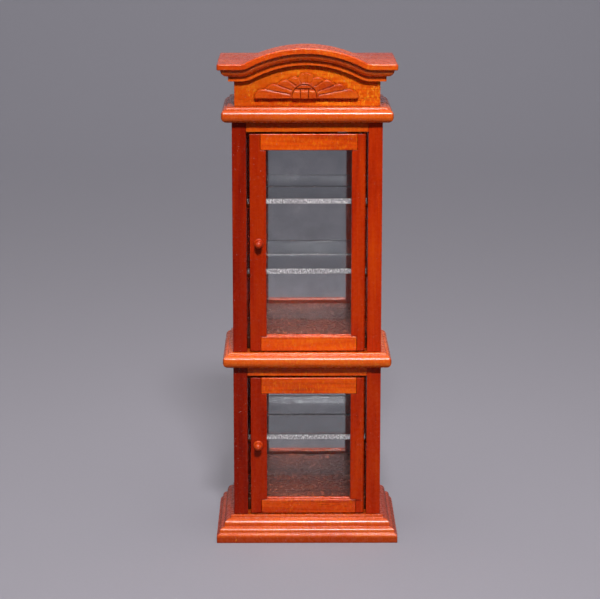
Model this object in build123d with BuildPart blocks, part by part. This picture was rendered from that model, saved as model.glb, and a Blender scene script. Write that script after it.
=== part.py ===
"""Miniature display case: two stacked glazed cupboards on a moulded plinth, with an arched crown.

Millimetres. +Z is up, the doors face -Y, and the origin is the middle of the footprint at the underside.
"""
from math import hypot, sqrt
import os

from build123d import *

# ---------------------------------------------------------------- driving dimensions
case_w = 52.8            # outside width of both cupboards
case_d = 39.2            # door plane to the back
side_t = 5.0             # thickness of the side frames
plinth_h = 9.0
plinth_lip = 1.0         # height of the square edge at the top of the plinth moulding
plinth_lip_out = 1.25
plinth_quirk = 0.3       # flat beside the top bead
plinth_step = 0.7        # face under the top bead
plinth_shelf = 0.4       # flat beside the second bead
plinth_nick = 0.15
bead_1 = 2.0             # radii of the plinth's beads, from the top
bead_2 = 1.3
bead_3 = 0.55
bead_4 = 0.25
waist_z = 64.1           # underside of the waist board
cornice_z = 151.9        # underside of the cornice board
board_h = 5.4            # thickness of the waist and cornice boards
nose_out = 3.65          # how far their moulded edges stand out
floor_t = 4.5
back_t = 3.2
mirror_t = 2.0

rail_h = 3.4             # fixed rail over each door
rail_d = 4.4
stop_t = 1.8             # lip behind the rail that the door closes against
stop_drop = 2.2

window_stile = 9.0       # side frame members round the side glass
window_rail = 7.0
window_r = 1.0
rabbet_w = 1.5
pane_t = 1.2

door_t = 4.4
gap_knob = 1.1           # open gap at the knob side of each door
gap_hinge = 0.75
gap_top = 0.7
gap_foot = 0.35
knob_stile_w = 5.85
hinge_stile_w = 5.0
lap = 2.0                # how far the rails lap over the stiles
lap_t = 2.2
door_pane_t = 1.0
groove = 1.2             # depth of the groove that holds the door glass
hinge_edge_r = 1.2       # rounding that lets the hinge stile turn beside the side frame
lower_knob_in = 2.7      # knob axis from the door's edge
upper_knob_in = 3.2
lower_knob_z = 34.9
upper_knob_z = 108.9
upper_rail_top = 5.8
upper_rail_foot = 5.3
lower_rail_top = 5.95
lower_rail_foot = 5.1

pin_r = 0.6
pin_clear = 0.05         # radial running clearance in the case
pin_len = 3.0            # length of each end of a pin
pin_in = 2.2             # pin axis from the door's hinge edge and from its front

shelf_t = 2.0
shelf_clear = 0.2
shelf_set = 6.0          # front edge of the shelves behind the door plane
floor_set = 5.7          # front edge of the floors behind it, clear of the turning hinge stile
cleat_w = 2.0
cleat_h = 1.6
upper_shelf_z = (96.8, 122.1)    # undersides
lower_shelf_z = 35.4

frieze_w = 51.0
frieze_set = 1.5         # frieze face behind the door plane
frieze_t = 4.0
crown_out = 5.9          # crown slab beyond the frieze
slab_t = 2.2
slab_edge = 0.3          # eased front edges of the slab
frieze_h = 13.0          # frieze, from the cornice to the underside of the wings
arch_x = -0.5            # middle of the arch
arch_rise = 5.6          # arch over the wings
arch_r = 45.2
arch_ease = 4.0          # hollow that eases each wing into the arch
arch_d = 17.4            # depth of the arched part, front to back
crown_band = 2.03
ovolo_out = 4.65
ovolo_r = 2.35
crown_drop = 4.15

fan_x = -0.4
fan_up = 2.9             # foot of the fan over the cornice
fan_relief = 1.75
petal_relief = 1.6
petal_ease = 0.42        # depth of the sloped edges of the petals
petal_slope = 44         # degrees
dome_shift = -0.6        # middle of the dome from the middle of the fan
dome_w = 4.85
dome_h = 5.4
dome_rim = 0.42
carve = 0.26             # width of the carved lines in the dome
carve_d = 0.6
block_h = 3.25
block_out = 0.35         # how far the block stands proud of the dome
block_slope = 0.8
block_column = 2.8       # spacing of the two upright lines in the block
spine_w = 0.9            # narrow rib between the two middle petals
spine_h = 8.9
spine_relief = 1.15

# ---------------------------------------------------------------- derived
half = case_w / 2
inner = half - side_t
bead_1_x = plinth_lip_out + plinth_quirk
bead_2_x = bead_1_x + bead_1 + plinth_shelf
bead_3_x = bead_2_x + bead_2
bead_4_x = bead_3_x + bead_3 + plinth_nick
plinth_out = bead_4_x + bead_4
front = plinth_out - (case_d + plinth_out) / 2
back = front + case_d
waist_top = waist_z + board_h
cornice_top = cornice_z + board_h
mirror_y = back - back_t - mirror_t
floor_y = front + floor_set
door_l = gap_knob - inner
door_r = inner - gap_hinge
open_l = door_l + knob_stile_w
open_r = door_r - hinge_stile_w
pin_x = door_r - pin_in
pin_y = front + pin_in
slab_z = cornice_top + frieze_h
wing_z = slab_z + slab_t
frieze_y = front + frieze_set
arch_back = frieze_y - crown_out + arch_d
apex_z = wing_z + arch_rise
arch_c = apex_z - arch_r
fan_z = cornice_top + fan_up
dome_x = fan_x + dome_shift

os.makedirs("parts", exist_ok=True)


def save(piece, name):
    piece.part.label = name
    export_step(piece.part, f"parts/{name}.step")


def block(x0, x1, y0, y1, z0, z1, mode=Mode.ADD):
    """A squared length of wood between two corners, in the BuildPart that calls it."""
    with BuildSketch(Plane.XY.offset(z0)) as plan:
        with Locations(((x0 + x1) / 2, (y0 + y1) / 2)):
            Rectangle(x1 - x0, y1 - y0)
    extrude(plan.sketch, amount=z1 - z0, mode=mode)


def upright_hole(x, y, z, depth, radius):
    """A round hole from height z up (depth > 0) or down (depth < 0)."""
    with BuildSketch(Plane.XY.offset(z)) as mouth:
        with Locations((x, y)):
            Circle(radius)
    extrude(mouth.sketch, amount=depth, mode=Mode.SUBTRACT)


def mirrored(piece):
    """The left-hand twin of a right-hand piece."""
    with BuildPart() as twin:
        add(piece.part)
        mirror(about=Plane.YZ, mode=Mode.REPLACE)
    return twin


# ---------------------------------------------------------------- moulding sections
def falling_bead(x, y, r):
    """A quarter bead from (x, y) out and down to (x + r, y - r)."""
    ThreePointArc((x, y), (x + r * sqrt(0.5), y - r + r * sqrt(0.5)), (x + r, y - r))


def plinth_section():
    """Square lip, two falling beads, two small beads and the plinth face; x outwards, y up."""
    lip_y = plinth_h - plinth_lip
    bead_2_y = lip_y - bead_1 - plinth_step
    bead_3_y = bead_2_y - bead_2 - bead_3
    bead_4_y = bead_3_y - bead_3
    with BuildLine() as outline:
        Polyline((0, plinth_h), (plinth_lip_out, plinth_h), (plinth_lip_out, lip_y), (bead_1_x, lip_y))
        falling_bead(bead_1_x, lip_y, bead_1)
        Polyline((bead_1_x + bead_1, lip_y - bead_1), (bead_1_x + bead_1, bead_2_y), (bead_2_x, bead_2_y))
        falling_bead(bead_2_x, bead_2_y, bead_2)
        Line((bead_3_x, bead_2_y - bead_2), (bead_3_x, bead_3_y))
        falling_bead(bead_3_x, bead_3_y, bead_3)
        Line((bead_3_x + bead_3, bead_4_y), (bead_4_x, bead_4_y))
        falling_bead(bead_4_x, bead_4_y, bead_4)
        Polyline((plinth_out, bead_4_y - bead_4), (plinth_out, 0), (0, 0), (0, plinth_h))
    make_face(outline.edges())


def board_section(depth):
    """A board with a thumbnail edge: a flat, a small step down, then the rounded nose."""
    low_r = 2.25
    high_r = 1.85
    neck = nose_out - high_r
    step = 0.85
    top_r = 0.6
    with BuildLine() as outline:
        Polyline((-depth, 0), (nose_out - low_r, 0))
        ThreePointArc(
            (nose_out - low_r, 0),
            (nose_out - low_r + low_r * sqrt(0.5), low_r - low_r * sqrt(0.5)),
            (nose_out, low_r),
        )
        Line((nose_out, low_r), (nose_out, board_h - step - high_r))
        ThreePointArc(
            (nose_out, board_h - step - high_r),
            (neck + high_r * sqrt(0.5), board_h - step - high_r + high_r * sqrt(0.5)),
            (neck, board_h - step),
        )
        Line((neck, board_h - step), (neck, board_h - top_r))
        ThreePointArc(
            (neck, board_h - top_r),
            (neck - top_r + top_r * sqrt(0.5), board_h - top_r + top_r * sqrt(0.5)),
            (neck - top_r, board_h),
        )
        Polyline((neck - top_r, board_h), (-depth, board_h), (-depth, 0))
    make_face(outline.edges())


def crown_section():
    """Quarter round over a flat band; x outwards from the frieze, y up from the slab's underside."""
    with BuildLine() as outline:
        Polyline((0, 0), (ovolo_out, 0))
        ThreePointArc(
            (ovolo_out, 0),
            (ovolo_out - ovolo_r + ovolo_r * sqrt(0.5), -ovolo_r * sqrt(0.5)),
            (ovolo_out - ovolo_r, -ovolo_r),
        )
        Polyline(
            (ovolo_out - ovolo_r, -ovolo_r),
            (crown_band, -ovolo_r),
            (crown_band, -crown_drop),
            (0, -crown_drop),
            (0, 0),
        )
    make_face(outline.edges())


def facing_front(x, y, z):
    """A plane whose x runs out of the front and whose y runs up."""
    return Plane(origin=(x, y, z), x_dir=(0, -1, 0), z_dir=(-1, 0, 0))


def facing_right(x, y, z):
    """A plane whose x runs out of the right side and whose y runs up; it looks forwards."""
    return Plane(origin=(x, y, z), x_dir=(1, 0, 0), z_dir=(0, -1, 0))


def mitre(x, y, keep):
    """Cut the corner at (x, y) at 45 degrees."""
    split(bisect_by=Plane(origin=(x, y, 0), z_dir=(1 if x > 0 else -1, 1, 0)), keep=keep)


# ---------------------------------------------------------------- plinth
with BuildPart() as base_board:
    block(-half, half, front, back, 0, plinth_h)
    upright_hole(pin_x, pin_y, plinth_h, -(pin_len + 0.2 - gap_foot), pin_r + pin_clear)
save(base_board, "base_board")

with BuildPart() as base_molding_front:
    with BuildSketch(facing_front(0, front, 0)):
        plinth_section()
    extrude(amount=half + plinth_out, both=True)
    mitre(half, front, Keep.BOTTOM)
    mitre(-half, front, Keep.BOTTOM)
save(base_molding_front, "base_molding_front")

with BuildPart() as base_molding_right:
    with BuildSketch(facing_right(half, back, 0)):
        plinth_section()
    extrude(amount=case_d + plinth_out)
    mitre(half, front, Keep.TOP)
save(base_molding_right, "base_molding_right")
save(mirrored(base_molding_right), "base_molding_left")


# ---------------------------------------------------------------- waist and cornice
def moulded_board(z, pin_depth):
    """A board with a thumbnail edge on the front and both sides."""
    reach = half + nose_out
    with BuildPart() as board:
        with BuildSketch(facing_front(0, front, z)):
            board_section(case_d)
        extrude(amount=reach, both=True)
        for side in (1, -1):
            with BuildSketch(Plane(origin=(side * half, back, z), x_dir=(side, 0, 0), z_dir=(0, -side, 0))):
                board_section(half)
        extrude(amount=case_d + nose_out, both=True, mode=Mode.INTERSECT)
        with BuildSketch(Plane.XY.offset(z)) as plan:
            with Locations((0, (back + front - nose_out) / 2)):
                Rectangle(2 * reach, case_d + nose_out)
            fillet(plan.vertices().group_by(Axis.Y)[0], radius=1.2)
        extrude(amount=board_h, mode=Mode.INTERSECT)
        if pin_depth:
            upright_hole(pin_x, pin_y, z + board_h, -pin_depth, pin_r + pin_clear)
    return board


save(moulded_board(waist_z, pin_len + 0.2 - gap_foot), "waist_board")
save(moulded_board(cornice_z, 0), "cornice_board")


# ---------------------------------------------------------------- cupboards
def cupboard(prefix, z0, z1, shelves):
    """Side frames with glass, fixed rail, floor, mirror, back and shelves between two heights."""
    window_y = (front + back) / 2
    window_z = (z0 + z1) / 2
    window_w = case_d - 2 * window_stile
    window_h = z1 - z0 - 2 * window_rail
    from_inside = Plane(origin=(inner, 0, 0), x_dir=(0, 1, 0), z_dir=(1, 0, 0))

    with BuildPart() as side:
        block(inner, half, front, back, z0, z1)
        with BuildSketch(from_inside):
            with Locations((window_y, window_z)):
                RectangleRounded(window_w, window_h, window_r)
        extrude(amount=side_t, mode=Mode.SUBTRACT)
        with BuildSketch(from_inside):
            with Locations((window_y, window_z)):
                Rectangle(window_w + 2 * rabbet_w, window_h + 2 * rabbet_w)
        extrude(amount=pane_t + 0.4, mode=Mode.SUBTRACT)
        outside = side.faces().sort_by(Axis.X)[-1]
        chamfer(outside.inner_wires()[0].edges(), length=0.9)
    save(side, f"{prefix}_side_right")
    save(mirrored(side), f"{prefix}_side_left")

    with BuildPart() as pane:
        with BuildSketch(from_inside.offset(0.4)):
            with Locations((window_y, window_z)):
                Rectangle(window_w + 2 * rabbet_w, window_h + 2 * rabbet_w)
        extrude(amount=pane_t)
    save(pane, f"{prefix}_side_pane_right")
    save(mirrored(pane), f"{prefix}_side_pane_left")

    with BuildPart() as rail:
        block(-inner, inner, front, front + rail_d, z1 - rail_h, z1)
        stop_y = front + door_t + 0.4
        block(-inner, inner / 2, front + rail_d, stop_y + stop_t, z1 - rail_h, z1)
        block(-inner, inner / 2, stop_y, stop_y + stop_t, z1 - rail_h - stop_drop, z1 - rail_h)
        upright_hole(pin_x, pin_y, z1 - rail_h, pin_len + 0.2 - gap_top, pin_r + pin_clear)
    save(rail, f"{prefix}_top_rail")

    with BuildPart() as floor:
        block(-inner, inner, floor_y, back - back_t, z0, z0 + floor_t)
        chamfer(floor.edges().filter_by(Axis.X).group_by(Axis.Y)[0].sort_by(Axis.Z)[-1], length=0.4)
    save(floor, f"{prefix}_floor")

    with BuildPart() as mirror_glass:
        block(-inner, inner, mirror_y, back - back_t, z0 + floor_t, z1)
    save(mirror_glass, f"{prefix}_mirror")

    with BuildPart() as back_panel:
        block(-inner, inner, back - back_t, back, z0, z1)
    save(back_panel, f"{prefix}_back_panel")

    for name, z in shelves:
        with BuildPart() as shelf:
            block(
                shelf_clear - inner, inner - shelf_clear, front + shelf_set, mirror_y - shelf_clear, z, z + shelf_t
            )
        save(shelf, f"{prefix}_{name}")

        with BuildPart() as cleat:
            block(inner - cleat_w, inner, front + shelf_set, mirror_y, z - cleat_h, z)
            nose = cleat.edges().filter_by(Axis.X).group_by(Axis.Y)[0].sort_by(Axis.Z)[0]
            fillet(nose, radius=1.2)
        save(cleat, f"{prefix}_{name}_cleat_right")
        save(mirrored(cleat), f"{prefix}_{name}_cleat_left")


cupboard("lower", plinth_h, waist_z, [("shelf", lower_shelf_z)])
cupboard("upper", waist_top, cornice_z, [("shelf_1", upper_shelf_z[0]), ("shelf_2", upper_shelf_z[1])])


# ---------------------------------------------------------------- doors
def turned_knob(x, z):
    """Flange, neck and ball with a peg into the stile, turned about the line through (x, z)."""
    flange_r = 1.75
    flange_t = 0.75
    neck_r = 0.95
    ball_r = 1.35
    peg_r = 0.8
    peg = 2.0
    ball_c = 2.45
    ball_foot = sqrt(ball_r**2 - neck_r**2)
    with BuildPart() as knob:
        with BuildSketch(Plane(origin=(x, front, z), x_dir=(1, 0, 0), z_dir=(0, 0, 1))):
            with BuildLine():
                Polyline(
                    (0, peg),
                    (peg_r, peg),
                    (peg_r, 0),
                    (flange_r, 0),
                    (flange_r, -flange_t / 2),
                    (flange_r - flange_t / 2, -flange_t),
                    (neck_r, -flange_t),
                    (neck_r, ball_foot - ball_c),
                )
                ThreePointArc(
                    (neck_r, ball_foot - ball_c),
                    (ball_r, -ball_c),
                    (0, -ball_c - ball_r),
                )
                Line((0, -ball_c - ball_r), (0, peg))
            make_face()
        revolve(axis=Axis((x, front, z), (0, 1, 0)))
    return knob


def door(prefix, z0, z1, rail_top, rail_foot, knob_x, knob_z):
    """A framed glass door between two heights, hung on a pin at each end of its right stile."""
    rear = front + door_t
    glass_y = front + lap_t
    low = z0 + rail_foot
    high = z1 - rail_top
    glass_cut = (glass_y, glass_y + door_pane_t, low - groove, high + groove)

    with BuildPart() as knob_stile:
        block(door_l, open_l, front, rear, z0, z1)
        for a, b in ((z0, low), (high, z1)):
            block(open_l - lap, open_l, front, front + lap_t, a, b, Mode.SUBTRACT)
        block(open_l - groove, open_l, *glass_cut, Mode.SUBTRACT)
        with BuildSketch(Plane(origin=(knob_x, front, knob_z), x_dir=(1, 0, 0), z_dir=(0, 1, 0))):
            Circle(0.8)
        extrude(amount=2.0, mode=Mode.SUBTRACT)
    save(knob_stile, f"{prefix}_door_stile_left")

    with BuildPart() as hinge_stile:
        block(open_r, door_r, front, rear, z0, z1)
        corner = hinge_stile.edges().filter_by(Axis.Z).group_by(Axis.X)[-1].sort_by(Axis.Y)[0]
        fillet(corner, radius=hinge_edge_r)
        for a, b in ((z0, low), (high, z1)):
            block(open_r, open_r + lap, front, front + lap_t, a, b, Mode.SUBTRACT)
        block(open_r, open_r + groove, *glass_cut, Mode.SUBTRACT)
        upright_hole(pin_x, pin_y, z0, pin_len, pin_r)
        upright_hole(pin_x, pin_y, z1, -pin_len, pin_r)
    save(hinge_stile, f"{prefix}_door_stile_right")

    for name, a, b, cut in (
        ("rail_bottom", z0, low, (low - groove, low)),
        ("rail_top", high, z1, (high, high + groove)),
    ):
        with BuildPart() as rail:
            block(open_l, open_r, front, rear, a, b)
            block(open_l - lap, open_r + lap, front, front + lap_t, a, b)
            block(open_l, open_r, glass_y, glass_y + door_pane_t, *cut, Mode.SUBTRACT)
        save(rail, f"{prefix}_door_{name}")

    with BuildPart() as pane:
        reach = groove - 0.1
        block(open_l - reach, open_r + reach, glass_y, glass_y + door_pane_t, low - reach, high + reach)
    save(pane, f"{prefix}_door_pane")

    save(turned_knob(knob_x, knob_z), f"{prefix}_door_knob")

    for name, z in (("pin_bottom", z0), ("pin_top", z1)):
        with BuildPart() as pin:
            with BuildSketch(Plane.XY.offset(z - pin_len)):
                with Locations((pin_x, pin_y)):
                    Circle(pin_r)
            extrude(amount=2 * pin_len)
            free = pin.edges().filter_by(GeomType.CIRCLE).sort_by(Axis.Z)[-1 if z == z1 else 0]
            chamfer(free, length=0.15)
        save(pin, f"{prefix}_door_{name}")


door(
    "lower",
    plinth_h + gap_foot,
    waist_z - rail_h - gap_top,
    lower_rail_top,
    lower_rail_foot,
    door_l + lower_knob_in,
    lower_knob_z,
)
door(
    "upper",
    waist_top + gap_foot,
    cornice_z - rail_h - gap_top,
    upper_rail_top,
    upper_rail_foot,
    door_l + upper_knob_in,
    upper_knob_z,
)

# ---------------------------------------------------------------- arched crown
ease_x = sqrt((arch_r + arch_ease) ** 2 - (wing_z + arch_ease - arch_c) ** 2)
ease_z = wing_z + arch_ease
span = hypot(ease_x, ease_z - arch_c)
lean = (ease_x / span, (ease_z - arch_c) / span)


def arch_points(drop):
    """Where the wing, the hollow and the arch meet, `drop` below the top surface, from the arch's middle."""
    on_wing = (ease_x, wing_z - drop)
    on_arch = (lean[0] * (arch_r - drop), arch_c + lean[1] * (arch_r - drop))
    mid = (-lean[0], -lean[1] - 1)
    size = hypot(*mid)
    r = arch_ease + drop
    in_hollow = (ease_x + r * mid[0] / size, ease_z + r * mid[1] / size)
    return on_wing, in_hollow, on_arch


def arch_line(drop, reach):
    """Wing, hollow, arch, hollow, wing from left to right, for a BuildLine on the XZ plane."""
    right = [(arch_x + x, z) for x, z in arch_points(drop)]
    left = [(arch_x - x, z) for x, z in arch_points(drop)]
    Line((-reach, wing_z - drop), left[0])
    ThreePointArc(*left)
    ThreePointArc(left[2], (arch_x, apex_z - drop), right[2])
    ThreePointArc(*right[::-1])
    Line(right[0], (reach, wing_z - drop))


slab_half = frieze_w / 2 + crown_out
slab_y = frieze_y - crown_out

with BuildPart() as crown_slab:
    with BuildSketch(Plane.XZ.offset(-arch_back)):
        with BuildLine():
            arch_line(0, slab_half)
            arch_line(slab_t, slab_half)
            Line((-slab_half, wing_z), (-slab_half, slab_z))
            Line((slab_half, wing_z), (slab_half, slab_z))
        make_face()
    extrude(amount=arch_d)
    fillet(crown_slab.edges().filter_by(Axis.Z).group_by(Axis.Y)[0], radius=0.7)
    chamfer(crown_slab.faces().sort_by(Axis.Y)[0].edges(), length=slab_edge)
save(crown_slab, "crown_slab")

with BuildPart() as crown_top_board:
    block(-slab_half, slab_half, arch_back, back, slab_z, wing_z)
    fillet(crown_top_board.edges().filter_by(Axis.Z).group_by(Axis.Y)[-1], radius=0.7)
save(crown_top_board, "crown_top_board")

with BuildPart() as frieze_block:
    with BuildSketch(Plane.XZ.offset(-arch_back)):
        with BuildLine():
            arch_line(slab_t, frieze_w / 2)
            Polyline(
                (-frieze_w / 2, slab_z),
                (-frieze_w / 2, cornice_top),
                (frieze_w / 2, cornice_top),
                (frieze_w / 2, slab_z),
            )
        make_face()
    extrude(amount=arch_back - frieze_y)
save(frieze_block, "frieze_block")

with BuildPart() as frieze_side_right:
    block(frieze_w / 2 - frieze_t, frieze_w / 2, arch_back, back, cornice_top, slab_z)
save(frieze_side_right, "frieze_side_right")
save(mirrored(frieze_side_right), "frieze_side_left")

with BuildPart() as frieze_back:
    block(frieze_t - frieze_w / 2, frieze_w / 2 - frieze_t, back - frieze_t, back, cornice_top, slab_z)
save(frieze_back, "frieze_back")

with BuildPart() as crown_molding_front:
    with BuildLine(Plane.XZ.offset(-frieze_y)) as run:
        arch_line(slab_t, frieze_w / 2 + ovolo_out)
    with BuildSketch(facing_front(-frieze_w / 2 - ovolo_out, frieze_y, slab_z)):
        crown_section()
    sweep(path=run.wires()[0])
    mitre(frieze_w / 2, frieze_y, Keep.BOTTOM)
    mitre(-frieze_w / 2, frieze_y, Keep.BOTTOM)
save(crown_molding_front, "crown_molding_front")

with BuildPart() as crown_molding_right:
    with BuildSketch(facing_right(frieze_w / 2, back, slab_z)):
        crown_section()
    extrude(amount=back - frieze_y + ovolo_out)
    mitre(frieze_w / 2, frieze_y, Keep.TOP)
save(crown_molding_right, "crown_molding_right")
save(mirrored(crown_molding_right), "crown_molding_left")

# ---------------------------------------------------------------- carved fan
petals = (               # root (low, high), then the outer end (low, round, high), each (x, z) from the fan's foot
    ((1.30, 3.60), (0.30, 3.60), (2.62, 6.85), (1.95, 8.50), (0.30, 8.80)),
    ((2.30, 3.57), (1.10, 3.60), (6.45, 6.19), (5.00, 7.40), (2.40, 7.05)),
    ((3.20, 2.00), (2.40, 3.89), (10.2, 4.58), (9.20, 5.80), (6.35, 6.41)),
    ((3.20, 0.86), (3.00, 2.17), (14.2, 2.96), (13.3, 4.40), (10.15, 4.82)),
    ((3.20, -0.90), (3.20, 1.10), (17.9, -0.90), (17.55, 2.00), (14.3, 3.22)),
)


def petal_outline(side, root_low, root_high, low, crest, high):
    """Straight sides from the root to a round outer end."""
    at = [(fan_x + side * x, fan_z + z) for x, z in (root_low, root_high, low, crest, high)]
    with BuildLine() as edge:
        Polyline(at[4], at[1], at[0], at[2])
        ThreePointArc(at[2], at[3], at[4])
    make_face(edge.edges())


def petal(side, *corners):
    """A carved petal on the frieze, with sloped edges."""
    with BuildSketch(Plane.XZ.offset(-frieze_y)) as foot:
        petal_outline(side, *corners)
    extrude(foot.sketch, amount=petal_relief - petal_ease)
    with BuildSketch(Plane.XZ.offset(petal_relief - petal_ease - frieze_y)) as shoulder:
        petal_outline(side, *corners)
    extrude(shoulder.sketch, amount=petal_ease, taper=petal_slope)


def dome_face(inset):
    """The half round in the middle of the fan, drawn `inset` inside its edge."""
    wide = dome_w - inset
    with BuildLine() as edge:
        ThreePointArc((dome_x - wide, fan_z), (dome_x, fan_z + dome_h - inset), (dome_x + wide, fan_z))
        Line((dome_x + wide, fan_z), (dome_x - wide, fan_z))
    make_face(edge.edges())


with BuildPart() as fan_ornament:
    for shape in petals:
        petal(1, *shape)
        petal(-1, *shape)
    block(fan_x - spine_w / 2, fan_x + spine_w / 2, frieze_y - spine_relief, frieze_y, fan_z, fan_z + spine_h)
    block(-frieze_w / 2, frieze_w / 2, frieze_y - petal_relief, frieze_y, fan_z, slab_z, Mode.INTERSECT)
    with BuildSketch(Plane.XZ.offset(-frieze_y)):
        dome_face(0)
    extrude(amount=fan_relief)
    with BuildSketch(Plane.XZ.offset(fan_relief - carve_d - frieze_y)):
        dome_face(dome_rim)
    extrude(amount=carve_d, mode=Mode.SUBTRACT)
    with BuildSketch(Plane.XZ.offset(-frieze_y)):
        dome_face(dome_rim + carve)
        with Locations((dome_x, fan_z + (block_h + carve) / 2)):
            Rectangle(2 * dome_w, block_h + carve, mode=Mode.SUBTRACT)
    extrude(amount=fan_relief)
    with BuildSketch(Plane.XZ.offset(-frieze_y)):
        dome_face(dome_rim + carve)
        with Locations((dome_x, fan_z + block_h / 2)):
            Rectangle(2 * dome_w, block_h, mode=Mode.INTERSECT)
            with GridLocations(block_column, 0, 2, 1):
                Rectangle(carve, block_h, mode=Mode.SUBTRACT)
    extrude(amount=fan_relief + block_out)
    proud = fan_ornament.faces().filter_by(Axis.Y).group_by(Axis.Y)[0]
    tops = [edge for face in proud for edge in face.edges().filter_by(Axis.X).sort_by(Axis.Z)[-1:]]
    chamfer(tops, length=block_slope)
save(fan_ornament, "fan_ornament")
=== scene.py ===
import math

import bmesh
import bpy
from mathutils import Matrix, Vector


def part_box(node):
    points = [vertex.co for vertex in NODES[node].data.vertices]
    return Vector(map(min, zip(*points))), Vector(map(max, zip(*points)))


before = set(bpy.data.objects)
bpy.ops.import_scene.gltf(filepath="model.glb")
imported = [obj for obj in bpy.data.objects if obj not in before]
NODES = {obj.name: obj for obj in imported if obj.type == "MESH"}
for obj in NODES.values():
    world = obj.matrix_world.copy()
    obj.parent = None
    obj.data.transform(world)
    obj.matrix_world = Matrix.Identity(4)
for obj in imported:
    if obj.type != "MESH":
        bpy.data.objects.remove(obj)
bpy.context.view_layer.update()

MM = 0.001
EVEN = (1, 1, 1)         # a scale that draws a pattern out on no axis


# ---------------------------------------------------------------- node helpers
class Tree:
    """A material's node tree, with short calls that return output sockets."""

    def __init__(self, name):
        self.mat = bpy.data.materials.new(name)
        self.mat.use_nodes = True
        self.nt = self.mat.node_tree
        self.nt.nodes.clear()
        self.out = self.nt.nodes.new("ShaderNodeOutputMaterial")

    def add(self, kind, **settings):
        node = self.nt.nodes.new(kind)
        for key, value in settings.items():
            setattr(node, key, value)
        return node

    def put(self, node, name, value):
        """Link a socket, or set a plain value, on the input called name (or numbered name)."""
        socket = node.inputs[name]
        if isinstance(value, bpy.types.NodeSocket):
            self.nt.links.new(value, socket)
        else:
            socket.default_value = value

    def place(self, scale=EVEN, shift=(0, 0, 0), turn=(0, 0, 0)):
        """Object coordinates in metres, shifted, turned and then scaled."""
        where = self.add("ShaderNodeTexCoord").outputs["Object"]
        move = self.add("ShaderNodeMapping", vector_type="POINT")
        self.put(move, "Vector", where)
        self.put(move, "Location", tuple(a * b for a, b in zip(shift, scale)))
        self.put(move, "Rotation", turn)
        self.put(move, "Scale", scale)
        return move.outputs["Vector"]

    def split(self, kind):
        """Texture coordinates of a kind, as three separate outputs X, Y and Z."""
        node = self.add("ShaderNodeSeparateXYZ")
        self.put(node, 0, self.add("ShaderNodeTexCoord").outputs[kind])
        return node.outputs

    def noise(self, vector, scale, detail=2.0, rough=0.5, warp=0.0):
        """Noise whose grains are about 1 / scale metres wide."""
        node = self.add("ShaderNodeTexNoise")
        self.put(node, "Vector", vector)
        self.put(node, "Scale", scale)
        self.put(node, "Detail", detail)
        self.put(node, "Roughness", rough)
        self.put(node, "Distortion", warp)
        return node.outputs["Fac"]

    def ramp(self, fac, *stops):
        """A colour ramp; each stop is (position, colour or grey)."""
        node = self.add("ShaderNodeValToRGB")
        self.put(node, "Fac", fac)
        bar = node.color_ramp
        while len(bar.elements) < len(stops):
            bar.elements.new(1.0)
        for mark, (position, colour) in zip(bar.elements, stops):
            mark.position = position
            shade = colour if isinstance(colour, tuple) else (colour, colour, colour)
            mark.color = (*shade, 1.0)
        return node.outputs["Color"]

    def maths(self, operation, a, b=0.0, c=None, clamp=False):
        node = self.add("ShaderNodeMath", operation=operation, use_clamp=clamp)
        self.put(node, 0, a)
        self.put(node, 1, b)
        if c is not None:
            self.put(node, 2, c)
        return node.outputs[0]

    def span(self, value, low, high, to_low=0.0, to_high=1.0):
        """The range low to high turned into to_low to to_high, and held there past its ends."""
        node = self.add("ShaderNodeMapRange")
        self.put(node, "Value", value)
        self.put(node, "From Min", low)
        self.put(node, "From Max", high)
        self.put(node, "To Min", to_low)
        self.put(node, "To Max", to_high)
        return node.outputs["Result"]

    def mix(self, fac, a, b):
        node = self.add("ShaderNodeMix", data_type="RGBA")
        for socket, value in ((0, fac), (6, a), (7, b)):
            self.put(node, socket, (*value, 1.0) if isinstance(value, tuple) else value)
        return node.outputs[2]

    def bump(self, height, depth, normal=None):
        node = self.add("ShaderNodeBump")
        self.put(node, "Height", height)
        self.put(node, "Distance", depth)
        self.put(node, "Strength", 1.0)
        if normal is not None:
            self.put(node, "Normal", normal)
        return node.outputs["Normal"]

    def surface(self, **inputs):
        node = self.add("ShaderNodeBsdfPrincipled")
        for name, value in inputs.items():
            name = name.replace("_", " ")
            self.put(node, name, (*value, 1.0) if isinstance(value, tuple) and len(value) == 3 else value)
        return node.outputs["BSDF"]

    def finish(self, shader):
        self.nt.links.new(shader, self.out.inputs["Surface"])
        return self.mat


def moved(seed, x, y, z):
    """How far a pattern is moved for one piece, so that no two pieces look the same."""
    return x * seed, y * seed, z * seed


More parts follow.
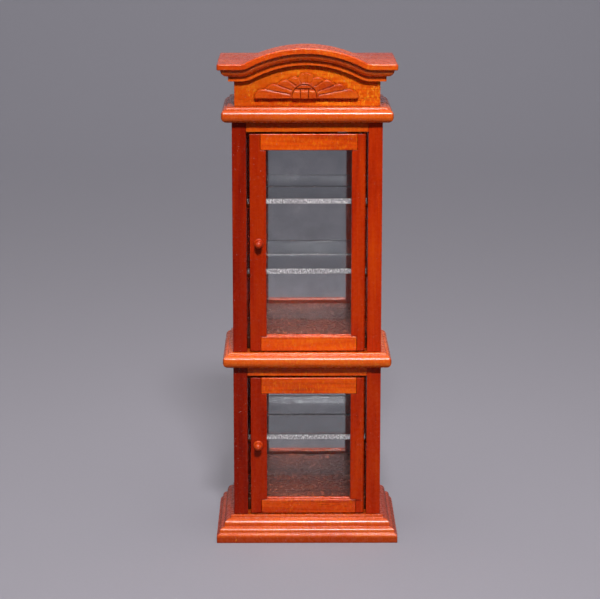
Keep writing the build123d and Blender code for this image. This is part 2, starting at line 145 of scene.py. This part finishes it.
# ---------------------------------------------------------------- wood
TONES = {                # dark streak, body colour, light streak, stain; the stain colour also paints the shade in corners and the shadow under the carving
    "stile": ((0.380, 0.0140, 0.0006), (0.55, 0.030, 0.0008), (0.66, 0.058, 0.0012), (0.15, 0.004, 0.0005)),
    "rail": ((0.560, 0.0380, 0.0006), (0.86, 0.086, 0.0012), (0.97, 0.170, 0.0030), (0.26, 0.010, 0.0005)),
    "board": ((0.640, 0.0620, 0.0015), (0.82, 0.104, 0.0040), (0.92, 0.165, 0.0110), (0.24, 0.011, 0.001)),
    "frieze": ((0.560, 0.0500, 0.0010), (0.84, 0.125, 0.0030), (0.97, 0.260, 0.0120), (0.15, 0.007, 0.0005)),
    "slab": ((0.560, 0.0340, 0.0008), (0.80, 0.084, 0.0020), (0.92, 0.155, 0.0050), (0.24, 0.007, 0.0005)),
    "carving": ((0.420, 0.0240, 0.0006), (0.68, 0.078, 0.0016), (0.84, 0.150, 0.0060), (0.20, 0.008, 0.0005)),
    "knob": ((0.400, 0.0200, 0.0014), (0.58, 0.040, 0.0034), (0.72, 0.080, 0.0080), (0.24, 0.008, 0.001)),
    # painted shade: the inside pieces take a far darker tone, standing for the shade inside the case
    "inside": ((0.070, 0.0100, 0.0035), (0.135, 0.022, 0.0070), (0.200, 0.038, 0.0110), (0.03, 0.005, 0.002)),
    "back": ((0.200, 0.0160, 0.0020), (0.34, 0.038, 0.0040), (0.44, 0.070, 0.0080), (0.10, 0.007, 0.001)),
}
COATS = {                # how thick the lacquer is, and how strong the figure across the grain, from 0 to 1
    "stile": (0.25, 0.10),
    "rail": (0.50, 0.45),
    "board": (0.68, 0.35),
    "frieze": (0.30, 0.75),
    "slab": (0.62, 0.45),
    "carving": (0.90, 0.15),
    "knob": (0.60, 0.10),
    "inside": (0.40, 0.10),
    "back": (0.60, 0.10),
}
ALONG = {"x": 0, "y": 1, "z": 2}
RIPPLE = {               # by grain axis: the figure is drawn out across the grain
    "x": (1.0, 0.45, 0.45),
    "y": (0.45, 1.0, 0.45),
    "z": (0.4, 1.0, 1.0),
}
GOLDEN = (1.08, 1.75, 2.0)           # the lightest flecks, against the light streaks
DUST = (0.62, 0.50, 0.46)
NICK = (0.86, 0.30, 0.03)            # bare wood where the lacquer is chipped
FOOT = 2.2 * MM                      # height of the base's lowest face
RAGGED = 9 * MM                      # how far the edge between red and gold wanders
CORNER_SHADE_REACH = 1.1 * MM                    # how far the painted shade reaches out of a corner
CARVED_EDGE = 0.5 * MM               # radius to which the lacquer rounds the carving
GRAIN_RELIEF = 0.0035 * MM
SWELL_RELIEF = 0.011 * MM


def stretched(axis, along):
    """A scale of 1 across the grain and `along` on it."""
    scale = [1.0, 1.0, 1.0]
    scale[ALONG[axis]] = along
    return tuple(scale)


def deeper(colour, depth):
    """The same stain laid on more heavily, which also serves for painted shade: a depth of 1 is as given, and
    less is darker and redder.
    """
    return colour[0] * depth, colour[1] * depth**1.7, colour[2] * depth


class Wood(Tree):
    """The nodes of one piece of fine-pored wood, with its grain on one axis."""

    def __init__(self, name, tone, grain, seed, depth):
        super().__init__(name)
        self.grain = grain
        self.shift = moved(seed, 0.137, -0.091, 0.173)
        self.dark, self.body, self.light, self.stain = (deeper(colour, depth) for colour in TONES[tone])
        self.fibres = self.grained(1900, 0.035, 3.0, 0.5, 0.1)
        self.pores = self.grained(3600, 0.12, 1.0)
        self.open_pores = self.ramp(self.pores, (0.26, 1.0), (0.33, 0.0))
        self.patches = self.even(150)

    def grained(self, scale, along, detail, rough=0.5, warp=0.0):
        """Noise on the scale given across the grain, and on `along` times that scale on it."""
        return self.noise(self.place(stretched(self.grain, along), self.shift), scale, detail, rough, warp)

    def even(self, scale, detail=2.0):
        return self.noise(self.place(EVEN, self.shift), scale, detail)

    def stained(self):
        """Streaks of dark, body and light stain."""
        bands = self.grained(260, 0.08, 3.0, 0.55, 0.8)
        cloud = self.grained(85, 0.5, 2.0)
        wide = self.maths("MULTIPLY_ADD", bands, 0.42, self.maths("MULTIPLY", cloud, 0.30))
        tone = self.maths("MULTIPLY_ADD", self.fibres, 0.28, wide)
        return self.ramp(tone, (0.36, self.dark), (0.50, self.body), (0.66, self.light))

    def figured(self, colour, flecks):
        """The figure across the grain: golden flecks, in patches, and dark gaps between them."""
        ripple = self.noise(self.place(RIPPLE[self.grain], self.shift), 1500, 2.0, 0.6, 0.4)
        patched = self.span(self.patches, 0.35, 0.62, 0.25, 1.0)
        figure = self.maths("MULTIPLY", self.span(ripple, 0.50, 0.66), patched)
        gold = tuple(min(1.0, c * g) for c, g in zip(self.light, GOLDEN))
        colour = self.mix(self.maths("MULTIPLY", figure, flecks), colour, gold)
        return self.mix(self.span(ripple, 0.28, 0.46, 0.35 * flecks, 0.0), colour, self.dark)

    def reddened(self, colour, red_x, gold_x):
        """The stain thins from red to gold between two places on x, in metres."""
        wander = self.span(self.patches, 0.2, 0.8, -RAGGED, RAGGED)
        red = self.span(self.maths("ADD", self.split("Object")["X"], wander), red_x, gold_x, 0.75, 0.0)
        return self.mix(red, colour, deeper(self.body, 0.72))

    def shaded_foot(self, colour):
        """The foot is painted darker near the floor, as painted shade, and is nicked."""
        low = self.span(self.split("Object")["Z"], FOOT, 0.9 * FOOT)
        colour = self.mix(self.maths("MULTIPLY", low, 0.75), colour, deeper(self.body, 0.55))
        nicks = self.ramp(self.even(520), (0.70, 0.0), (0.74, 1.0))
        return self.mix(self.maths("MULTIPLY", low, nicks), colour, NICK)

    def dark_patch(self, colour, centre_x, centre_z, half_x, half_z, strength):
        """A dark patch with ragged edges, by its centre and half size on x and z, in metres: a rub mark on the
        lower door, and a painted shadow under the fan.
        """
        at = self.split("Object")
        across = self.maths("ABSOLUTE", self.span(at["X"], centre_x - half_x, centre_x + half_x, -1.0, 1.0))
        upward = self.maths("ABSOLUTE", self.span(at["Z"], centre_z - half_z, centre_z + half_z, -1.0, 1.0))
        ragged = self.span(self.pores, 0.2, 0.8, -0.45, 0.45)
        reach = self.maths("ADD", self.maths("MAXIMUM", across, upward), ragged)
        return self.mix(self.span(reach, 0.35, 0.85, strength, 0.0), colour, self.stain)

    def aged_and_shaded(self, colour, lacquer):
        """Stain held in the pores, which lacquer hides, painted shade in the corners, laid in stain colour where
        ambient occlusion finds a corner, and a little dust.
        """
        colour = self.mix(self.maths("MULTIPLY", self.open_pores, 0.26 - 0.18 * lacquer), colour, self.stain)
        # painted shade: corners and creases darkened with the stain colour by ambient occlusion
        corner_shade = self.add("ShaderNodeAmbientOcclusion", samples=6)
        self.put(corner_shade, "Distance", CORNER_SHADE_REACH)
        colour = self.mix(self.span(corner_shade.outputs["AO"], 0.30, 0.86, 0.80, 0.0), colour, self.stain)
        specks = self.ramp(self.even(2100, 0.0), (0.80, 0.0), (0.825, 1.0))
        return self.mix(self.maths("MULTIPLY", specks, 0.30), colour, DUST)

    def relief(self, rounded):
        """Fibres and pores in relief on a slow swell, with cut edges rounded to a radius unless it is 0."""
        edge = None
        if rounded:
            bevel = self.add("ShaderNodeBevel", samples=6)
            self.put(bevel, "Radius", rounded)
            edge = bevel.outputs["Normal"]
        pitted = self.maths("MULTIPLY_ADD", self.fibres, 0.6, self.maths("MULTIPLY", self.open_pores, -0.5))
        swell = self.grained(420, 0.5, 2.0)
        return self.bump(swell, SWELL_RELIEF, self.bump(pitted, GRAIN_RELIEF, edge))


def wood(node, tone, grain, seed):
    """Stained and lacquered wood for a node; `seed` moves the pattern."""
    t = Wood(f"wood_{node}", tone, grain, seed, STAIN_AND_SHADE_DEPTHS.get(node, 1.0))
    lacquer, flecks = COATS[tone]
    colour = t.figured(t.stained(), flecks)
    if node in WARM:
        colour = t.reddened(colour, *WARM[node])
    if "base_" in node:
        # painted shade: the base is darker at its lowest face
        colour = t.shaded_foot(colour)
    if node in MARKS_AND_SHADOWS:
        colour = t.dark_patch(colour, *MARKS_AND_SHADOWS[node])
    return t.finish(t.surface(
        Base_Color=t.aged_and_shaded(colour, lacquer), Roughness=t.span(t.even(700, 3.0), 0.3, 0.7, 0.24, 0.31),
        Normal=t.relief(CARVED_EDGE if tone == "carving" else 0.0), IOR=1.46,
        Specular_IOR_Level=0.10 + 0.45 * lacquer,
        Coat_Weight=0.42 * lacquer, Coat_Roughness=0.22, Coat_IOR=1.5,
    ))


# ---------------------------------------------------------------- glass, mirror, brass
def clear_in_shadow(t, shader, tint):
    """Lets lamp light through clear pieces, so that what is behind them is lit."""
    through = t.add("ShaderNodeBsdfTransparent")
    t.put(through, "Color", (*tint, 1.0))
    join = t.add("ShaderNodeMixShader")
    t.put(join, 0, t.add("ShaderNodeLightPath").outputs["Is Shadow Ray"])
    t.put(join, 1, shader)
    t.put(join, 2, through.outputs[0])
    return join.outputs[0]


def pane_glass(node, seed):
    """Thin window glass with faint smears."""
    shift = moved(seed, 0.11, 0.07, 0.05)
    t = Tree(f"glass_{node}")
    smear = t.noise(t.place((1, 1, 0.4), shift), 160, 3.0, 0.6, 1.2)
    ripple = t.noise(t.place(EVEN, shift), 60, 1.0)
    shader = t.surface(
        Base_Color=t.mix(smear, (0.985, 0.990, 0.988), (0.955, 0.965, 0.965)),
        Roughness=t.span(smear, 0.45, 0.75, 0.0, 0.05), IOR=1.46, Transmission_Weight=1.0,
        Normal=t.bump(ripple, 0.01 * MM),
    )
    return t.finish(clear_in_shadow(t, shader, (0.96, 0.97, 0.97)))


def shelf_acrylic(node, seed):
    """Clear acrylic with sawn, frosted, glittering edges and fine scratches on its faces."""
    shift = moved(seed, 0.13, 0.05, 0.03)
    t = Tree(f"acrylic_{node}")
    facing = t.split("Normal")
    upright = t.maths("LESS_THAN", t.maths("ABSOLUTE", facing["Z"]), 0.5)
    edge = t.maths("MULTIPLY", upright, t.span(facing["Y"], 0.4, 0.6, 1.0, 0.25))    # the back edge is clearer
    frost = t.noise(t.place((1, 1, 0.6), shift), 1900, 3.0, 0.8)
    haze = t.noise(t.place(EVEN, shift), 260, 4.0, 0.7, 0.5)
    scratch = t.noise(t.place((0.10, 1.0, 1.0), shift, (0, 0, 0.35)), 2800, 1.0)
    scuffs = t.ramp(scratch, (0.68, 0.0), (0.73, 1.0))
    face_rough = t.maths("MULTIPLY_ADD", scuffs, 0.06, t.span(haze, 0.4, 0.75, 0.01, 0.07))
    edge_rough = t.maths("MULTIPLY", edge, t.span(frost, 0.35, 0.7, 0.45, 0.9))
    glitter = t.ramp(
        frost, (0.38, (0.10, 0.09, 0.10)), (0.50, (0.26, 0.24, 0.27)), (0.58, (0.42, 0.40, 0.43)), (0.66, 0.9),
    )
    height = t.maths("ADD", t.maths("MULTIPLY", frost, edge), t.maths("MULTIPLY", scuffs, -0.08))
    shader = t.surface(
        Base_Color=t.mix(edge, (0.95, 0.97, 0.98), glitter), Roughness=t.maths("MAXIMUM", face_rough, edge_rough),
        IOR=1.49, Transmission_Weight=t.maths("SUBTRACT", 1.0, edge, clamp=True),
        Normal=t.bump(height, 0.12 * MM),
    )
    return t.finish(clear_in_shadow(t, shader, (0.88, 0.90, 0.91)))


def mirror_glass(node, seed):
    """A cheap acrylic mirror, slightly wavy and hazy."""
    shift = moved(seed, 0.09, 0.02, 0.06)
    t = Tree(f"mirror_{node}")
    haze = t.noise(t.place(EVEN, shift), 130, 4.0, 0.65, 0.4)
    wave = t.noise(t.place((1, 1, 0.6), shift), 45, 1.0)
    return t.finish(t.surface(
        Base_Color=t.ramp(haze, (0.30, (0.60, 0.60, 0.64)), (0.70, (0.72, 0.72, 0.76))), Metallic=1.0,
        Roughness=t.span(haze, 0.35, 0.8, 0.015, 0.09), Normal=t.bump(wave, 0.05 * MM),
    ))


def brass(node):
    """Drawn brass wire, a little dull."""
    t = Tree(f"brass_{node}")
    streak = t.noise(t.place((1, 1, 0.08)), 4200, 3.0, 0.6)
    patina = t.noise(t.place(), 1300, 3.0)
    return t.finish(t.surface(
        Base_Color=t.mix(t.span(patina, 0.4, 0.7), (0.78, 0.50, 0.17), (0.50, 0.29, 0.10)), Metallic=1.0,
        Roughness=t.span(streak, 0.3, 0.7, 0.22, 0.42), Normal=t.bump(streak, 0.01 * MM),
    ))


# ---------------------------------------------------------------- which finish each node takes
STAIN_AND_SHADE_DEPTHS = {               # pieces whose stain is deeper, or lighter, than their tone says; on upper_top_rail the deeper colour is painted shade
    "upper_side_left": 0.58,
    "lower_side_left": 0.55,
    "upper_door_stile_left": 0.76,
    "lower_door_stile_left": 0.75,
    "upper_door_stile_right": 0.94,
    "lower_side_right": 0.88,
    "lower_door_stile_right": 0.90,
    "lower_door_rail_bottom": 0.86,
    "base_molding_front": 0.96,
    "base_molding_left": 0.62,
    "base_molding_right": 0.62,
    "crown_top_board": 0.75,
    "waist_board": 1.10,
    # painted shade: the rail under the cornice is darkened for the cornice's shadow
    "upper_top_rail": 0.84,
}
WARM = {                 # x where the stain is still red, and x where it has turned gold
    "frieze_block": (-20 * MM, -2 * MM),
    "cornice_board": (-32 * MM, 2 * MM),
    "waist_board": (-36 * MM, -14 * MM),
    "crown_slab": (-34 * MM, -14 * MM),
}


def rub_mark():
    """Where fingers have rubbed the foot of the lower door: centre, half size and strength."""
    stile_low, stile_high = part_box("lower_door_stile_right")
    rail_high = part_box("lower_door_rail_bottom")[1]
    centre_x = (stile_low[0] + stile_high[0]) / 2 - 0.4 * MM
    return centre_x, rail_high[2] - 0.3 * MM, 2.4 * MM, 0.45 * MM, 0.85


def painted_shadow_under_fan():
    """Painted shadow of the petals on the frieze under them: centre, half size and strength."""
    low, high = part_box("fan_ornament")
    centre, half = (low[0] + high[0]) / 2, (high[0] - low[0]) / 2
    corners = [v.co for v in NODES["fan_ornament"].data.vertices]
    petal_foot = min(co.z for co in corners if abs(co.x - centre) > 0.6 * half)
    return centre, petal_foot - 0.7 * MM, 1.5 * half, 1.0 * MM, 0.6


# dark patches: rub marks on the lower door, and a painted shadow under the fan
MARKS_AND_SHADOWS = {
    "lower_door_stile_right": rub_mark(),
    "lower_door_rail_bottom": rub_mark(),
    # painted shadow: the fan's cast shadow on the frieze
    "frieze_block": painted_shadow_under_fan(),
}


def wood_of(node):
    """(tone, grain axis) of a wooden node."""
    if "knob" in node:
        return "knob", "y"
    if "cleat" in node:
        return "inside", "y"
    if node.endswith("_floor"):
        return "inside", "x"
    if node.endswith("back_panel"):
        return "back", "z"
    if "stile" in node:
        return "stile", "z"
    if "_rail" in node:
        return "rail", "x"
    if "_side_" in node and "frieze" not in node:
        return "stile", "z"
    if node == "fan_ornament":
        return "carving", "x"
    if node == "frieze_block":
        return "frieze", "x"
    if node in ("frieze_side_left", "frieze_side_right"):
        return "frieze", "y"
    if node == "frieze_back":
        return "back", "x"
    if node in ("crown_slab", "crown_top_board"):
        return "slab", "x"
    if node.endswith(("molding_left", "molding_right")):
        return "board", "y"
    return "board", "x"


def is_pane(node):
    return "pane" in node and "panel" not in node


def finish_of(node, seed):
    if "_pin_" in node:
        return brass(node)
    if is_pane(node):
        return pane_glass(node, seed)
    if "_mirror" in node:
        return mirror_glass(node, seed)
    if "_shelf" in node and "cleat" not in node:
        return shelf_acrylic(node, seed)
    return wood(node, *wood_of(node), seed)


for number, node in enumerate(sorted(NODES)):
    materials = NODES[node].data.materials
    finish = finish_of(node, number)
    materials.clear()
    materials.append(finish)


# ---------------------------------------------------------------- eased edges
WIDE_EASE = 0.30 * MM    # the doors and the carving
FINE_EASE = 0.16 * MM


def ease_edges(obj, width):
    """Rounds the sharp edges of a CAD node a little, with flat faces left flat."""
    weld = obj.modifiers.new("weld", "WELD")
    weld.merge_threshold = 0.002 * MM
    join = obj.modifiers.new("join", "DECIMATE")
    join.decimate_type = "DISSOLVE"
    join.angle_limit = math.radians(0.5)
    ease = obj.modifiers.new("ease", "BEVEL")
    ease.width = width
    ease.segments = 2
    ease.limit_method = "ANGLE"
    ease.angle_limit = math.radians(35)
    ease.use_clamp_overlap = obj.name == "fan_ornament"
    flat = obj.modifiers.new("flat", "WEIGHTED_NORMAL")
    flat.weight = 100
    flat.keep_sharp = False


for node, obj in NODES.items():
    if not (is_pane(node) or "_pin_" in node or "knob" in node):
        ease_edges(obj, WIDE_EASE if "door" in node or node == "fan_ornament" else FINE_EASE)


# ---------------------------------------------------------------- stage
FLOOR_FRONT = -9.0
WALL_Y = 1.5
BEND = 0.6               # radius where the floor turns up into the wall
BEND_STEPS = 24
WALL_TOP = 2.2
HALF_WIDE = 9.0


class Sky(Tree):
    """The world's node tree, with the same calls."""

    def __init__(self, name):
        self.world = bpy.data.worlds.new(name)
        self.world.use_nodes = True
        self.nt = self.world.node_tree


def sweep_floor():
    """A floor that curves up into a backdrop."""
    profile = [(FLOOR_FRONT, 0.0), (WALL_Y - BEND, 0.0)]
    for step in range(1, BEND_STEPS + 1):
        a = math.pi / 2 * step / BEND_STEPS
        profile.append((WALL_Y - BEND + BEND * math.sin(a), BEND - BEND * math.cos(a)))
    profile.append((WALL_Y, WALL_TOP))
    mesh = bmesh.new()
    rows = [[mesh.verts.new((x, y, z)) for y, z in profile] for x in (-HALF_WIDE, HALF_WIDE)]
    for a, b, c, d in zip(rows[0], rows[0][1:], rows[1][1:], rows[1]):
        mesh.faces.new((a, d, c, b))
    data = bpy.data.meshes.new("sweep")
    mesh.to_mesh(data)
    mesh.free()
    for face in data.polygons:
        face.use_smooth = True
    obj = bpy.data.objects.new("sweep", data)
    bpy.context.scene.collection.objects.link(obj)
    return obj


def seen_rays(t):
    """1 for what the camera sees, straight or through glass, and 0 for the rest."""
    path = t.add("ShaderNodeLightPath")
    return t.maths("MAXIMUM", path.outputs["Is Camera Ray"], path.outputs["Is Transmission Ray"])


def pale_card():
    """Pale card. The camera sees it lighter than the rays do that light the case from it, and polished
    wood mirrors it darker in front of the case, so that the upright faces take no pale wash."""
    t = Tree("pale_card")
    fleck = t.noise(t.place(), 900, 3.0)
    shown = t.mix(fleck, (0.254, 0.244, 0.292), (0.275, 0.264, 0.316))
    y = t.split("Object")["Y"]
    # painted reflection: glossy rays see the card graded by place, dark just in front of the case, lighter far in
    # front and behind it
    ahead = t.mix(t.span(y, -0.75, -0.12), (0.42, 0.415, 0.47), (0.10, 0.096, 0.110))
    mirrored = t.mix(t.span(y, 0.15, 0.40), ahead, (0.52, 0.49, 0.56))
    seen = seen_rays(t)
    card = t.mix(seen, (0.17, 0.165, 0.17), shown)
    card = t.mix(t.add("ShaderNodeLightPath").outputs["Is Glossy Ray"], card, mirrored)
    return t.finish(t.surface(
        Base_Color=card, Roughness=0.75, Normal=t.bump(fleck, 0.02 * MM),
        Emission_Color=(0.97, 0.95, 1.08), Emission_Strength=t.maths("MULTIPLY", seen, 0.10),
    ))


def studio_world():
    """A dim room, a little lighter where the camera sees it, to match the far floor."""
    sky = Sky("studio")
    colour = sky.mix(seen_rays(sky), (0.05, 0.052, 0.058), (0.15, 0.147, 0.163))
    sky.put(sky.nt.nodes["Background"], "Color", colour)
    return sky.world


def lamp(name, place, aim, size, power, colour=(1.0, 1.0, 1.0)):
    """A rectangular softbox at `place`, turned to face `aim`."""
    data = bpy.data.lights.new(name, "AREA")
    data.shape = "RECTANGLE"
    data.size, data.size_y = size
    data.energy = power
    data.color = colour
    obj = bpy.data.objects.new(name, data)
    bpy.context.scene.collection.objects.link(obj)
    obj.location = place
    obj.rotation_euler = (Vector(aim) - Vector(place)).to_track_quat("-Z", "Y").to_euler()
    return obj


def photo_camera():
    """The camera at the photograph's viewing angle."""
    data = bpy.data.cameras.new("camera")
    data.sensor_width = 36.0
    data.lens = 123.55
    data.clip_start = 0.05
    data.clip_end = 20.0
    obj = bpy.data.objects.new("camera", data)
    bpy.context.scene.collection.objects.link(obj)
    obj.location = (-0.0066, -0.7319, 0.24178)
    obj.rotation_euler = (math.radians(77.92), 0.0, -0.00568)
    return obj


backdrop = sweep_floor()
backdrop.data.materials.append(pale_card())
bpy.context.scene.world = studio_world()

key = lamp("key", (0.035, -0.60, 0.665), (0, 0, 0.10), (0.10, 0.09), 1.05, (1.0, 0.98, 0.95))
key.data.spread = math.radians(80)
lamp("overhead", (0.0, -0.10, 0.95), (0, 0, 0.05), (0.80, 0.80), 4.6, (1.0, 0.93, 0.84))
lamp("side_fill", (0.95, -0.45, 0.40), (0, 0, 0.08), (0.40, 0.60), 0.35)
lamp("backdrop_wash", (0.0, 1.25, 1.00), (0, 1.65, 0.08), (1.20, 0.30), 2.6)

bpy.context.scene.camera = photo_camera()
bpy.context.scene.view_settings.view_transform = "Standard"
